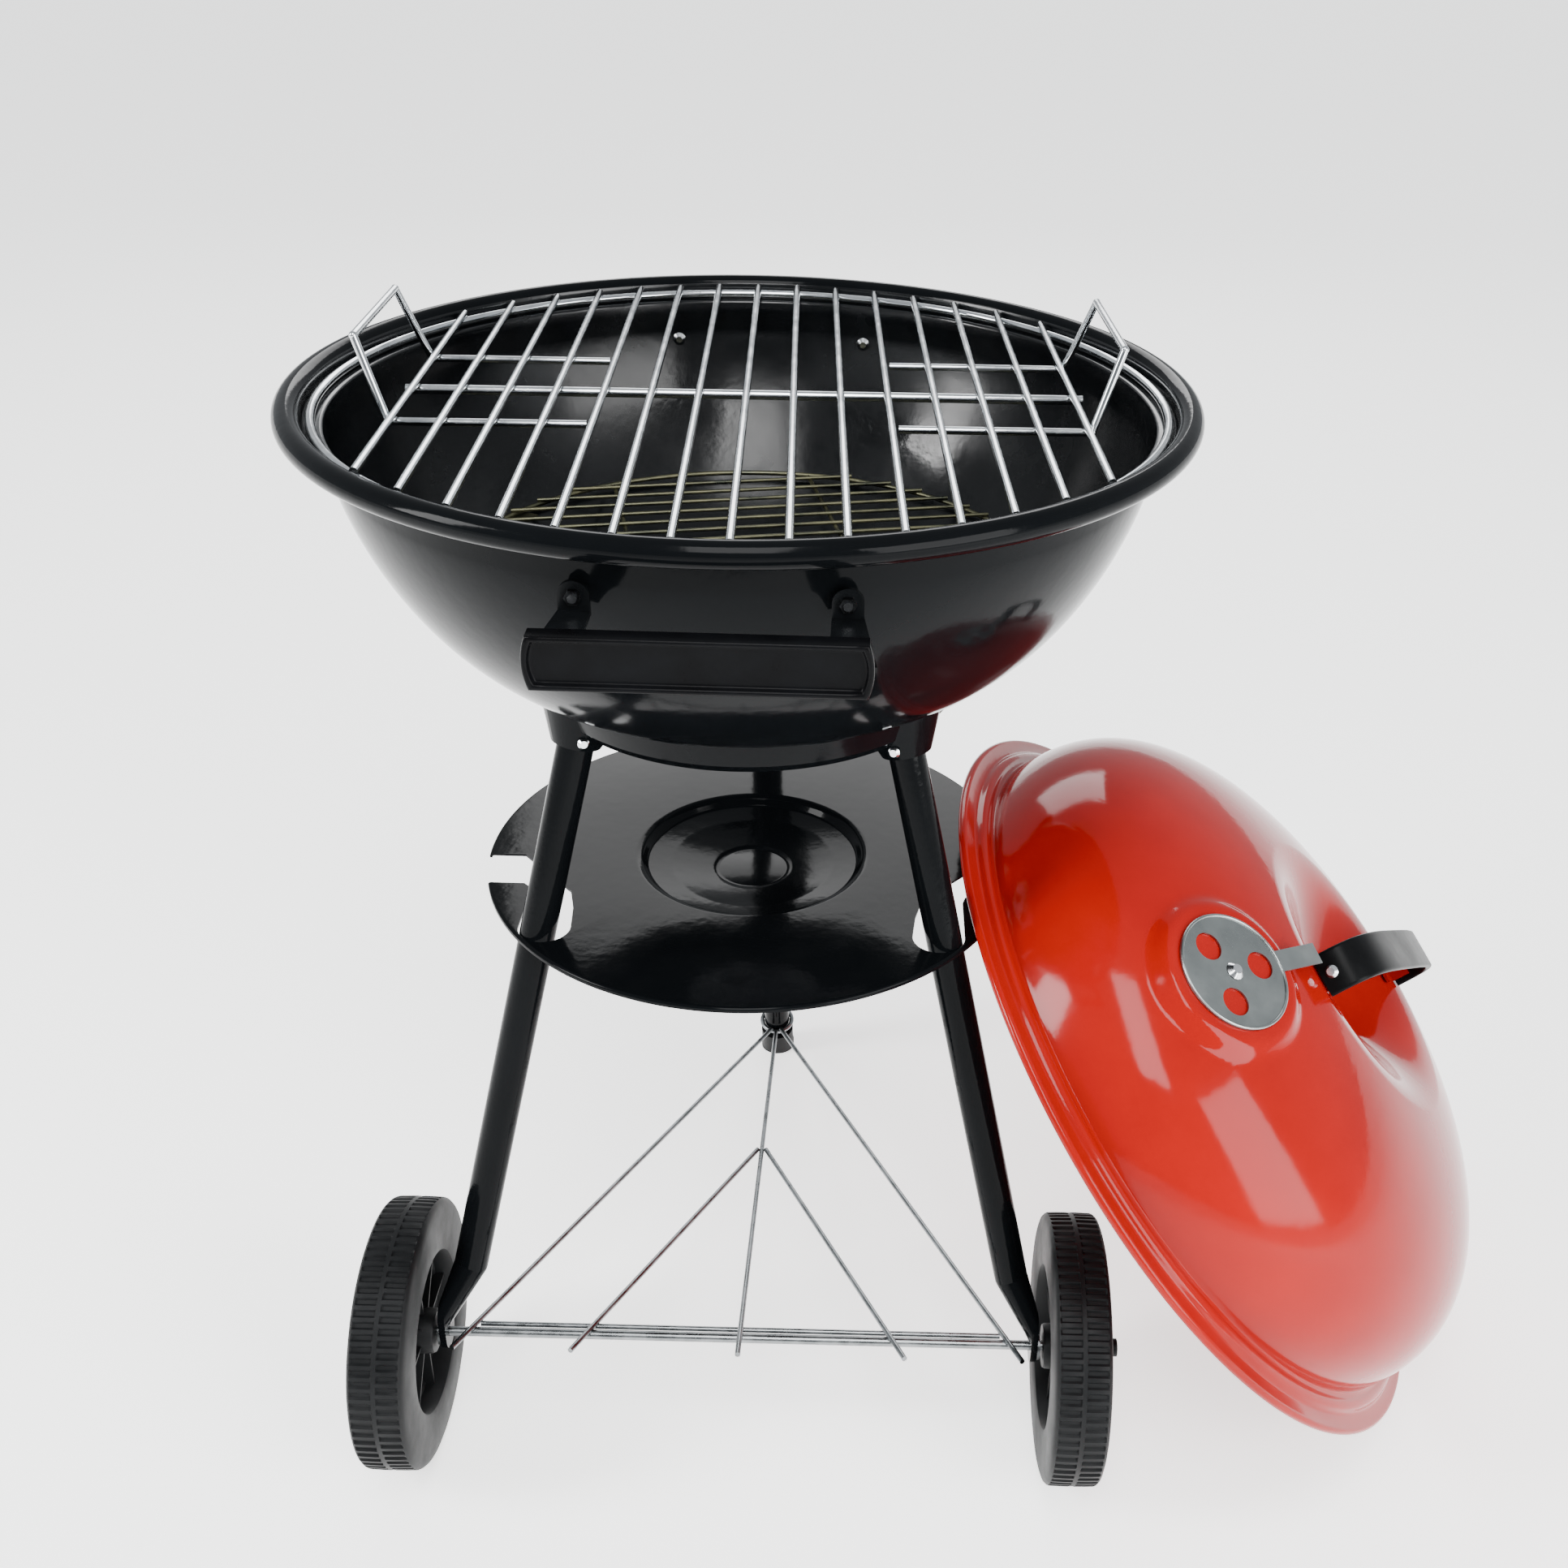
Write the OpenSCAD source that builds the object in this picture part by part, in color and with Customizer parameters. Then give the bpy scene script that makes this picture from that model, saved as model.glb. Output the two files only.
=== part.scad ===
// Kettle charcoal grill: enamelled bowl on a wheeled tripod, with its lid off and leaning on the
// right side. Millimetres, +Z up, the origin on the floor at the centre of everything's footprint.

/* [Bowl] */
// Outer radius of the rolled rim
rim_r = 240; // [238:1:246]
// Height of the top of the rim above the floor
rim_z = 640; // [636:1:650]
// Radius of the bowl's wall just under its grate ledge
wall_r = 216.6; // [214:0.1:218]
// Depth of the bowl below the ledge
bowl_depth = 140; // [136:1:142]
// Sheet thickness of the bowl, the lid and the pan
sheet = 1.5; // [1.2:0.1:2]

/* [Grates] */
// Number of bars of the cooking grate
bar_count = 15; // [11:2:17]
// Spacing of the cooking grate's bars
bar_pitch = 24.7; // [22:0.1:25]
// Number of wires of the charcoal grate
coal_bar_count = 19; // [13:2:19]
// Spacing of the charcoal grate's wires
coal_bar_pitch = 16; // [14:0.5:17]
// Height of the charcoal grate's ring
coal_z = 530; // [528:1:534]

/* [Stand] */
// Diameter of the leg tubes
leg_d = 20.5; // [19:0.5:21]
// Radius of the circle of leg centres at the sockets
leg_top_r = 114; // [112:1:116]
// Outward run of a leg for each unit of height
leg_splay = 0.29; // [0.27:0.01:0.30]
// Angle between the front legs' plane and the X axis
front_leg_angle = 38; // [36:1:40]
// Diameter of the wheels
wheel_d = 163; // [158:1:166]
// Width of the wheels
wheel_w = 34; // [30:1:36]
// Distance between the inner faces of the wheels
track_inside = 375; // [374:1:378]
// Diameter of the axle
axle_d = 6; // [5:0.5:7]

/* [Ash pan] */
// Radius of the ash pan
pan_r = 160.5; // [156:0.5:161]
// Height of the top of the ash pan
pan_z = 346; // [343:1:347]

/* [Handles] */
// Distance between the two screws of a side handle
handle_screw_span = 118; // [112:1:122]
// Length of a side handle's grip
grip_len = 142; // [138:1:150]

/* [Lid] */
// Outer radius of the lid's flange
lid_r = 250; // [248:1:251]
// Height of the dome above the flange's edge
lid_height = 131; // [128:1:134]
// Slope of the lid's axis above the floor as it leans
lid_slope = 41.25; // [41:0.05:41.5]

/* [Hidden] */

// The bowl's axis stands to the left of the origin, because the lid widens the footprint.
stand_x = -122.5;
fine = 96;
round_fn = 32;
weld = 0.4;
gap = 0.3;

// Bowl outline: a deep dish with a flattened bottom.
bowl_steps = 30;
side_power = 3.5;
bottom_power = 0.75;
wall_top_z = rim_z - 30;
bead_r = 6.5;
bead_z = rim_z - bead_r;
ledge_z = rim_z - 12;
ledge_r = rim_r - 2 * bead_r;
vent_count = 3;
vent_hole_r = 11;
vent_ring_r = 26;
rivet_r = 3;

vent_plate_t = 1.2;
vent_plate_z = wall_top_z - bowl_depth - vent_plate_t - 0.5;

// Cooking grate: bars lie on the ring, turned a little about the bowl's axis.
ring_wire_d = 5;
bar_d = 4;
grate_turn = 2.4;
grate_ring_r = ledge_r - ring_wire_d;
grate_ring_z = ledge_z + gap + ring_wire_d / 2;
bar_z = grate_ring_z + (ring_wire_d + bar_d) / 2 - weld;
lift_wire_half = 57;
lift_wire_in = 78;
lift_wire_out = 176;
lift_top_x = 190;
lift_top_z = rim_z + 31;
lift_top_half = 48;

// Charcoal grate
coal_ring_r = 168;
coal_ring_wire_d = 3;
coal_bar_d = 2.4;
coal_turn = 13;
coal_cross_x = 62;
support_w = 14;
support_t = 2;
support_out = 175;
support_len = 16;

// Stand
leg_top_z = 472;
socket_z = 460;
leg_wall = 1.2;
knee_z = 122;
wheel_r = wheel_d / 2;
axle_y = -149;
eye_x = track_inside / 2 - 5.5;
eye_t = 4;
eye_r = 10;
ring_in_r = 98;
ring_out_r = 121;
ring_z = 467;
socket_r = 14;
socket_flare = 15;
socket_low_z = 457;
ring_screw_r = 2;
foot_h = 24;
foot_r = 13.5;
shelf_wire_d = 3.4;
shelf_poke = 20;
shelf_half = 174;
brace_half = 102;
brace_y = 50;
shelf_front_z = wheel_r + (axle_d + shelf_wire_d) / 2 + 0.1;
shelf_back_z = 33;
cap_len = 12;
cap_r = 8;

// Ash pan: two hooked slots for the front legs, one open notch for the rear leg.
pan_lip = 3;
dish_r = 70;
dish_depth = 12;
dish_step = 4;
slot_r = 15;
slot_top_y = -11;
slot_low_y = -43;
slot_shoulder_x = 138;
slot_knee = [104, -50];
slot_lip = [5, -9];
notch_half = 15;
notch_in = 148;

// Side handles
handle_z = rim_z - 35;
bracket_w = 14;
bracket_flare = 20;
bracket_t = 2.5;
grip_back_y = 262;
grip_t = 10;
grip_h = 24;
grip_z = rim_z - 40;
grip_rim = 3;
screw_r = 2;
nut_t = 2.5;
pad_y = sqrt(pow(wall_r + 1, 2) - pow((handle_screw_span - bracket_w) / 2, 2)) + gap;
head_y = sqrt(pow(wall_r - sheet, 2) - pow(handle_screw_span / 2, 2)) - 2.2;

// Lid: outline of the dome above its stepped flange, with a round dish for the handle.
lid_side_r = 227.7;
lid_base = 9.5;
lid_power = 2.416;
lid_steps = 28;
dish_steps = 12;
dish_rim_r = 95;
lid_dish_depth = 28;
lid_turn = -6.5;
lid_x = 292.5;
lid_y = 3.4;
lid_bead_r = 3;
lid_z = (lid_r - lid_bead_r) * sin(90 - lid_slope) + lid_bead_r;
damper_at_r = 169;
damper_at_angle = 225;
damper_r = 36;
damper_t = 1.2;
damper_hole_r = 8.5;
damper_hole_at = 20;
boss_r = 43;
boss_skirt = 6;
boss_h = 9;
boss_rise = 1.5;
tab_w = 13;
tab_reach = 68;
lid_handle_angle = 231;
lid_handle_half = 90;
lid_handle_rise = 34;
lid_handle_w = 26;
lid_handle_t = 4.5;

// Height of the bowl's outer face at radius r, for a wall of radius side and a bottom at depth.
function dish_z(r, side, depth) =
    wall_top_z - depth * pow(max(0, 1 - pow(r / side, side_power)), bottom_power);
function spread(i, n, size) = size * sin(90 * i / n);
function bowl_line(side, depth) =
    [for (i = [0 : bowl_steps]) let (r = spread(i, bowl_steps, side)) [r, dish_z(r, side, depth)]];
function flip(list) = [for (i = [len(list) - 1 : -1 : 0]) list[i]];

// Radius of the leg circle and the place of a leg's axis at height z.
function leg_r(z) = leg_top_r + leg_splay * (socket_z - z);
function leg_at(angle, z) = [leg_r(z) * cos(angle), leg_r(z) * sin(angle), z];
left_angle = 180 + front_leg_angle;
right_angle = -front_leg_angle;
rear_angle = 90;
leg_angles = [left_angle, right_angle, rear_angle];

// Height of the lid's outer face above the flange at radius r.
function dome_h(r, side, height) =
    lid_base + (height - lid_base) * pow(max(0, 1 - pow(r / side, lid_power)), 1 / lid_power);
function lid_h(r, side, height) = r > dish_rim_r ? dome_h(r, side, height)
    : dome_h(dish_rim_r, side, height) - lid_dish_depth * (1 + cos(180 * r / dish_rim_r)) / 2;
function lid_line(side, height) = concat(
    [for (i = [0 : dish_steps]) let (r = dish_rim_r * i / dish_steps) [r, lid_h(r, side, height)]],
    [for (i = [1 : lid_steps])
        let (r = dish_rim_r + (side - dish_rim_r) * sin(90 * i / lid_steps))
        [r, lid_h(r, side, height)]]);
damper_h = dome_h(damper_at_r, lid_side_r, lid_height);
damper_tilt = atan((dome_h(damper_at_r - 1, lid_side_r, lid_height)
    - dome_h(damper_at_r + 1, lid_side_r, lid_height)) / 2);
lid_ridge_h = dome_h(dish_rim_r, lid_side_r, lid_height);

// A round wire or rod of diameter d from point a to point b.
module rod(a, b, d, sides = round_fn) {
    v = b - a;
    length = norm(v);
    translate(a)
        rotate([0, acos(v[2] / length), atan2(v[1], v[0])])
            cylinder(d = d, h = length, $fn = sides);
}

// A ring of round wire about Z.
module wire_ring(r, d, z) {
    translate([0, 0, z])
        rotate_extrude($fn = fine)
            translate([r, 0])
                circle(d = d, $fn = round_fn);
}

module at_stand() {
    translate([stand_x, 0, 0])
        children();
}

// Places the lid's own frame, whose Z is the dome's axis, where the lid leans.
module at_lid() {
    translate([stand_x + lid_x, lid_y, lid_z])
        rotate([0, 90 - lid_slope, lid_turn])
            children();
}

// Places a frame on the lid at the centre of the vent plate, with Z along its rivet.
module at_damper() {
    at_lid()
        rotate([0, 0, damper_at_angle])
            translate([damper_at_r, 0, damper_h])
                rotate([0, damper_tilt, 0])
                    children();
}

module bowl_solid(drop = 0) {
    translate([0, 0, -drop])
        rotate_extrude($fn = fine)
            polygon(concat(bowl_line(wall_r, bowl_depth), [[0, wall_top_z]]));
}

module handle_holes(r) {
    for (x = [-1, 1], y = [-1, 1])
        translate([x * handle_screw_span / 2, y * wall_r, handle_z])
            rotate([90, 0, 0])
                cylinder(r = r, h = wall_r / 4, center = true, $fn = round_fn);
}

module bowl() {
    color("#15171a")
    at_stand() {
        difference() {
            union() {
                rotate_extrude($fn = fine)
                    polygon(concat(
                        bowl_line(wall_r, bowl_depth),
                        [[wall_r + 1, ledge_z - 4], [ledge_r - 1, ledge_z - sheet],
                         [ledge_r + sheet, ledge_z], [ledge_r + sheet, bead_z],
                         [ledge_r, bead_z], [ledge_r - 1, ledge_z],
                         [wall_r + 1 - sheet, ledge_z], [wall_r - sheet, ledge_z - 4]],
                        flip(bowl_line(wall_r - sheet, bowl_depth - sheet))));
                wire_ring(rim_r - bead_r, 2 * bead_r, bead_z);
            }
            handle_holes(screw_r + gap);
            translate([0, 0, wall_top_z - bowl_depth - sheet])
                cylinder(r = rivet_r, h = 4 * sheet, $fn = round_fn);
            for (i = [0 : vent_count - 1])
                rotate([0, 0, 360 / vent_count * i])
                    translate([vent_ring_r, 0, wall_top_z - bowl_depth - sheet])
                        cylinder(r = vent_hole_r, h = 4 * sheet, $fn = round_fn);
        }
    }
}

// Three folded tabs spot-welded inside the wall, under the charcoal grate's ring.
module grate_supports() {
    top = coal_z - coal_ring_wire_d / 2 - gap;
    color("#3a3d40")
    at_stand()
        for (a = [30, 150, 270])
            rotate([0, 0, a])
                translate([support_out - support_len, -support_w / 2, top - support_t])
                    cube([support_len, support_w, support_t]);
}

// Rivet through the bottom of the bowl, which the lower vent plate turns on.
module vent_rivet() {
    head_h = 1.5;
    low = vent_plate_z - gap - head_h;
    high = wall_top_z - bowl_depth + sheet + gap;
    color("#b8babd")
    at_stand() {
        translate([0, 0, low])
            cylinder(r = rivet_r - 0.05, h = high - low + 1, $fn = round_fn);
        translate([0, 0, low])
            cylinder(r1 = rivet_r, r2 = 2 * rivet_r, h = head_h, $fn = round_fn);
        translate([0, 0, high])
            cylinder(r1 = 2 * rivet_r, r2 = rivet_r, h = head_h, $fn = round_fn);
    }
}

module bottom_vent_plate() {
    low = vent_plate_z;
    color("#8d9093")
    at_stand()
        difference() {
            union() {
                translate([0, 0, low])
                    cylinder(r = vent_ring_r + 18, h = vent_plate_t, $fn = fine);
                translate([vent_ring_r + 10, -tab_w / 2, low])
                    cube([40, tab_w, vent_plate_t]);
            }
            translate([0, 0, low - 1])
                cylinder(r = rivet_r, h = 4, $fn = round_fn);
            for (i = [0 : vent_count - 1])
                rotate([0, 0, 360 / vent_count * i])
                    translate([vent_ring_r, 0, low - 1])
                        cylinder(r = vent_hole_r, h = 4, $fn = round_fn);
        }
}

module cooking_grate_ring() {
    color("#d9dbdd")
    at_stand()
        wire_ring(grate_ring_r, ring_wire_d, grate_ring_z);
}

module cooking_grate_bars() {
    reach = grate_ring_r + ring_wire_d / 2;
    color("#d9dbdd")
    at_stand()
        rotate([0, 0, grate_turn])
            for (i = [0 : bar_count - 1])
                let (x = (i - (bar_count - 1) / 2) * bar_pitch,
                    half = sqrt(reach * reach - x * x) - 1)
                    rod([x, -half, bar_z], [x, half, bar_z], bar_d);
}

module cooking_grate_cross_wire() {
    half = bar_pitch * (bar_count - 1) / 2 + 6;
    z = bar_z - (ring_wire_d + bar_d) / 2 + weld;
    color("#d9dbdd")
    at_stand()
        rotate([0, 0, grate_turn])
            rod([-half, 0, z], [half, 0, z], ring_wire_d);
}

// Two lifting handles, each one wire bent up outside the outer bars.
module cooking_grate_handles() {
    z = bar_z - bar_d + weld;
    color("#d9dbdd")
    at_stand()
        rotate([0, 0, grate_turn])
            for (side = [-1, 1])
                union() {
                    for (y = [-1, 1]) {
                        rod([side * lift_wire_in, y * lift_wire_half, z],
                            [side * lift_wire_out, y * lift_wire_half, z], bar_d);
                        rod([side * lift_wire_out, y * lift_wire_half, z],
                            [side * lift_top_x, y * lift_top_half, lift_top_z], bar_d);
                        translate([side * lift_wire_out, y * lift_wire_half, z])
                            sphere(d = bar_d + 0.3, $fn = round_fn);
                        translate([side * lift_top_x, y * lift_top_half, lift_top_z])
                            sphere(d = bar_d + 0.3, $fn = round_fn);
                    }
                    rod([side * lift_top_x, -lift_top_half, lift_top_z],
                        [side * lift_top_x, lift_top_half, lift_top_z], bar_d);
                }
}

module charcoal_grate_ring() {
    color("#8c8474")
    at_stand()
        wire_ring(coal_ring_r, coal_ring_wire_d, coal_z);
}

module charcoal_grate_bars() {
    z = coal_z + (coal_ring_wire_d + coal_bar_d) / 2 - weld;
    color("#9a9484")
    at_stand()
        rotate([0, 0, coal_turn])
            for (i = [0 : coal_bar_count - 1])
                let (y = (i - (coal_bar_count - 1) / 2) * coal_bar_pitch,
                    half = sqrt(coal_ring_r * coal_ring_r - y * y) + 2)
                    rod([-half, y, z], [half, y, z], coal_bar_d, 16);
}

module charcoal_grate_cross_wires() {
    z = coal_z + (coal_ring_wire_d + coal_bar_d) / 2 - coal_bar_d;
    color("#9a9484")
    at_stand()
        rotate([0, 0, coal_turn])
            for (x = [-coal_cross_x, coal_cross_x])
                let (half = sqrt(coal_ring_r * coal_ring_r - x * x) - 4)
                    rod([x, -half, z], [x, half, z], coal_bar_d);
}

// The strap that holds a grip: a round-topped pad on the wall and an arm that widens outward
// towards the grip's end, on the side given.
module bracket(side) {
    arm_z = grip_z - 3 - bracket_t / 2;
    difference() {
        union() {
            translate([0, -pad_y, handle_z])
                rotate([90, 0, 0])
                    cylinder(d = bracket_w, h = bracket_t, $fn = round_fn);
            translate([-bracket_w / 2, -pad_y - bracket_t, arm_z])
                cube([bracket_w, bracket_t, handle_z - arm_z]);
            translate([0, 0, arm_z])
                linear_extrude(bracket_t)
                    polygon([[-side * bracket_w / 2, -pad_y], [side * bracket_w / 2, -pad_y],
                        [side * (bracket_flare - bracket_w / 2), -grip_back_y],
                        [-side * bracket_w / 2, -grip_back_y]]);
        }
        translate([0, -pad_y, handle_z])
            rotate([90, 0, 0])
                cylinder(r = screw_r + 0.1, h = 8 * bracket_t, center = true, $fn = round_fn);
    }
}

module brackets() {
    for (side = [-1, 1])
        translate([side * handle_screw_span / 2, 0, 0])
            bracket(side);
}

// A tray-shaped moulded grip with a raised rim and bowed ends.
module grip() {
    flat = grip_len - 2 * grip_rim;
    translate([0, -grip_back_y, grip_z])
        rotate([90, 0, 0])
            difference() {
                intersection() {
                    translate([-grip_len / 2, -grip_h / 2, 0])
                        cube([grip_len, grip_h, grip_t]);
                    cylinder(r = grip_len / 2, h = grip_t, $fn = fine);
                }
                translate([-flat / 2, -grip_h / 2 + grip_rim, grip_t - 3])
                    cube([flat, grip_h - 2 * grip_rim, 4]);
            }
}

module front_handle_brackets() {
    color("#1c1e20")
    at_stand()
        brackets();
}

module front_handle_grip() {
    color("#141517")
    at_stand()
        grip();
}

module rear_handle_brackets() {
    color("#1c1e20")
    at_stand()
        rotate([0, 0, 180])
            brackets();
}

module rear_handle_grip() {
    color("#141517")
    at_stand()
        rotate([0, 0, 180])
            grip();
}

// Four screws, with domed heads inside the bowl.
module handle_screws() {
    length = pad_y + bracket_t + nut_t + 1 - head_y;
    color("#d5d7d9")
    at_stand()
        for (x = [-1, 1], turn = [0, 180])
            rotate([0, 0, turn])
                translate([x * handle_screw_span / 2, -head_y, handle_z])
                    rotate([90, 0, 0]) {
                        cylinder(r = screw_r, h = length, $fn = round_fn);
                        translate([0, 0, -2])
                            cylinder(r1 = 2, r2 = 2 * screw_r, h = 2, $fn = round_fn);
                    }
}

module handle_nuts() {
    color("#c9cbcd")
    at_stand()
        for (x = [-1, 1], turn = [0, 180])
            rotate([0, 0, turn])
                translate([x * handle_screw_span / 2, -pad_y - bracket_t - 0.1, handle_z])
                    rotate([90, 0, 0])
                        difference() {
                            cylinder(r = 3.8, h = nut_t, $fn = 6);
                            translate([0, 0, -1])
                                cylinder(r = screw_r + 0.05, h = nut_t + 2, $fn = round_fn);
                        }
}

// A frame at a leg's socket, with Z up the leg's axis.
module along_leg(angle) {
    top = leg_at(angle, socket_z);
    translate(top)
        rotate([0, -atan(leg_splay), angle])
            children();
}

// A frame at the screw of a leg's socket, with Z outward along the screw.
module at_ring_screw(angle) {
    along_leg(angle)
        rotate([0, 0, angle == rear_angle ? 0 : (angle == left_angle ? 70 : -70)])
            translate([0, 0, 3])
                rotate([0, 90, 0])
                    children();
}

// Pressed ring under the bowl, with a flared socket for each leg.
module leg_ring() {
    color("#17191b")
    at_stand()
        difference() {
            union() {
                rotate_extrude($fn = fine)
                    polygon([[ring_in_r, ring_z], [ring_out_r - 4, ring_z], [ring_out_r, ring_z + 5],
                        [ring_out_r + 6, ring_z + 24], [ring_in_r, ring_z + 24]]);
                for (a = leg_angles)
                    along_leg(a)
                        translate([0, 0, socket_low_z - socket_z])
                            cylinder(r1 = socket_r, r2 = socket_r + socket_flare, h = 36, $fn = fine);
            }
            bowl_solid(0.2);
            rotate_extrude($fn = fine)
                polygon([[0, ring_z - 20], [ring_in_r - 8, ring_z - 20], [ring_in_r - 8, wall_top_z],
                    [0, wall_top_z]]);
            rotate_extrude($fn = fine)
                polygon([[ring_in_r + sheet, ring_z + sheet], [ring_out_r - 6, ring_z + sheet],
                    [ring_out_r - 2, ring_z + 6], [ring_out_r - 1, ring_z + 9],
                    [ring_in_r + sheet, ring_z + 9]]);
            for (a = leg_angles) {
                along_leg(a)
                    translate([0, 0, -8])
                        cylinder(d = leg_d + 0.1, h = 60, $fn = fine);
                at_ring_screw(a)
                    cylinder(r = ring_screw_r + 0.1, h = 60, $fn = round_fn);
            }
        }
}

// One screw through each socket into its leg.
module ring_screws() {
    start = leg_d / 2 - 3;
    head = socket_r + 4.2;
    color("#cfd1d3")
    at_stand()
        for (a = leg_angles)
            at_ring_screw(a) {
                translate([0, 0, start])
                    cylinder(r = ring_screw_r, h = head - start, $fn = round_fn);
                translate([0, 0, head - 0.1])
                    cylinder(r1 = 3.2, r2 = 2, h = 1.6, $fn = round_fn);
            }
}

// The straight stretch of a leg's tube between two heights.
module leg_tube(angle, z_low, z_high) {
    low = leg_at(angle, z_low);
    high = leg_at(angle, z_high);
    difference() {
        rod(low, high, leg_d, fine);
        rod(low + (high - low) * 0.02, high + (high - low) * 0.02, leg_d - 2 * leg_wall, fine);
        at_ring_screw(angle)
            cylinder(r = ring_screw_r + 0.1, h = leg_d, $fn = round_fn);
    }
}

// A front leg: a tube whose end is flattened and bent out to an eye on the axle.
module front_leg(angle, side) {
    knee = leg_at(angle, knee_z);
    difference() {
        union() {
            leg_tube(angle, knee_z, leg_top_z);
            hull() {
                translate(knee)
                    sphere(d = leg_d, $fn = round_fn);
                translate([side * eye_x, axle_y, wheel_r + 16])
                    rotate([0, 90, 0])
                        cylinder(r = eye_r, h = eye_t, center = true, $fn = round_fn);
            }
            hull() {
                for (z = [wheel_r, wheel_r + 16])
                    translate([side * eye_x, axle_y, z])
                        rotate([0, 90, 0])
                            cylinder(r = eye_r, h = eye_t, center = true, $fn = round_fn);
            }
        }
        translate([side * eye_x, axle_y, wheel_r])
            rotate([0, 90, 0])
                cylinder(d = axle_d + 0.1, h = 6 * eye_t, center = true, $fn = round_fn);
    }
}

module left_leg() {
    color("#17191b")
    at_stand()
        front_leg(left_angle, -1);
}

module right_leg() {
    color("#17191b")
    at_stand()
        front_leg(right_angle, 1);
}

module rear_leg() {
    color("#17191b")
    at_stand()
        leg_tube(rear_angle, 8, leg_top_z);
}

// A moulded cap on the end of the rear leg, with a flat base on the floor.
module foot_cap() {
    base = leg_at(rear_angle, 0);
    top = leg_at(rear_angle, foot_h);
    color("#101113")
    at_stand()
        difference() {
            union() {
                translate([0, base[1], 0])
                    cylinder(r = foot_r, h = 6, $fn = fine);
                intersection() {
                    rod(leg_at(rear_angle, -8), top, 2 * foot_r - 1, fine);
                    translate([-50, base[1] - 60, 0])
                        cube([100, 120, 60]);
                }
            }
            rod(leg_at(rear_angle, 7.8), leg_at(rear_angle, foot_h + 20), leg_d + 0.1, fine);
        }
}

// A point of the shelf, which slopes from over the axle down to the rear leg.
shelf_loop_r = (leg_d + shelf_wire_d) / 2 + gap;
shelf_back_y = leg_at(rear_angle, shelf_back_z)[1] - shelf_loop_r - 1;
function shelf_z(y) =
    shelf_front_z + (shelf_back_z - shelf_front_z) * (y - axle_y) / (shelf_back_y - axle_y);
function shelf_point(x, y) = [x, y, shelf_z(y)];

module shelf_rod(a, b) {
    color("#b9bcbf")
    at_stand()
        rod(a, b, shelf_wire_d);
}

module shelf_left_wire() {
    shelf_rod(shelf_point(-shelf_half, axle_y - shelf_poke), shelf_point(-4, shelf_back_y));
}

module shelf_right_wire() {
    shelf_rod(shelf_point(shelf_half, axle_y - shelf_poke), shelf_point(4, shelf_back_y));
}

module shelf_centre_wire() {
    shelf_rod(shelf_point(0, axle_y - shelf_poke), shelf_point(0, shelf_back_y - 6));
}

module shelf_left_brace() {
    shelf_rod(shelf_point(-brace_half, axle_y - shelf_poke), shelf_point(-shelf_wire_d + weld, brace_y));
}

module shelf_right_brace() {
    shelf_rod(shelf_point(brace_half, axle_y - shelf_poke), shelf_point(shelf_wire_d - weld, brace_y));
}

// A closed loop of the shelf's wire round the rear leg.
module shelf_leg_loop() {
    along = (shelf_back_z - socket_z) * sqrt(1 + leg_splay * leg_splay);
    color("#b9bcbf")
    at_stand()
        along_leg(rear_angle)
            wire_ring(shelf_loop_r, shelf_wire_d, along);
}

// The straight wire welded under the others, just behind the axle.
module shelf_base_wire() {
    y = axle_y + (axle_d + shelf_wire_d) / 2 + 1;
    color("#b9bcbf")
    at_stand()
        rod([-shelf_half + 12, y, shelf_z(y) - shelf_wire_d + weld],
            [shelf_half - 12, y, shelf_z(y) - shelf_wire_d + weld], shelf_wire_d);
}

axle_half = track_inside / 2 + wheel_w + 8;

module axle() {
    color("#aeb1b4")
    at_stand()
        rod([-axle_half, axle_y, wheel_r], [axle_half, axle_y, wheel_r], axle_d);
}

module axle_caps() {
    color("#1a1b1d")
    at_stand()
        for (side = [-1, 1])
            translate([side * (track_inside / 2 + wheel_w + 1), axle_y, wheel_r])
                rotate([0, side * 90, 0])
                    difference() {
                        union() {
                            cylinder(r = cap_r, h = cap_len / 2, $fn = fine);
                            cylinder(r = cap_r - 2.5, h = cap_len, $fn = fine);
                        }
                        translate([0, 0, -1])
                            cylinder(d = axle_d + 0.1, h = cap_len - 3.8, $fn = round_fn);
                    }
}

module wheel_washers() {
    color("#b3b6b9")
    at_stand()
        for (side = [-1, 1])
            translate([side * (track_inside / 2 - 2.2), axle_y, wheel_r])
                rotate([0, 90, 0])
                    difference() {
                        cylinder(r = 8.5, h = 1.5, center = true, $fn = fine);
                        cylinder(d = axle_d + 0.1, h = 4, center = true, $fn = round_fn);
                    }
}

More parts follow.
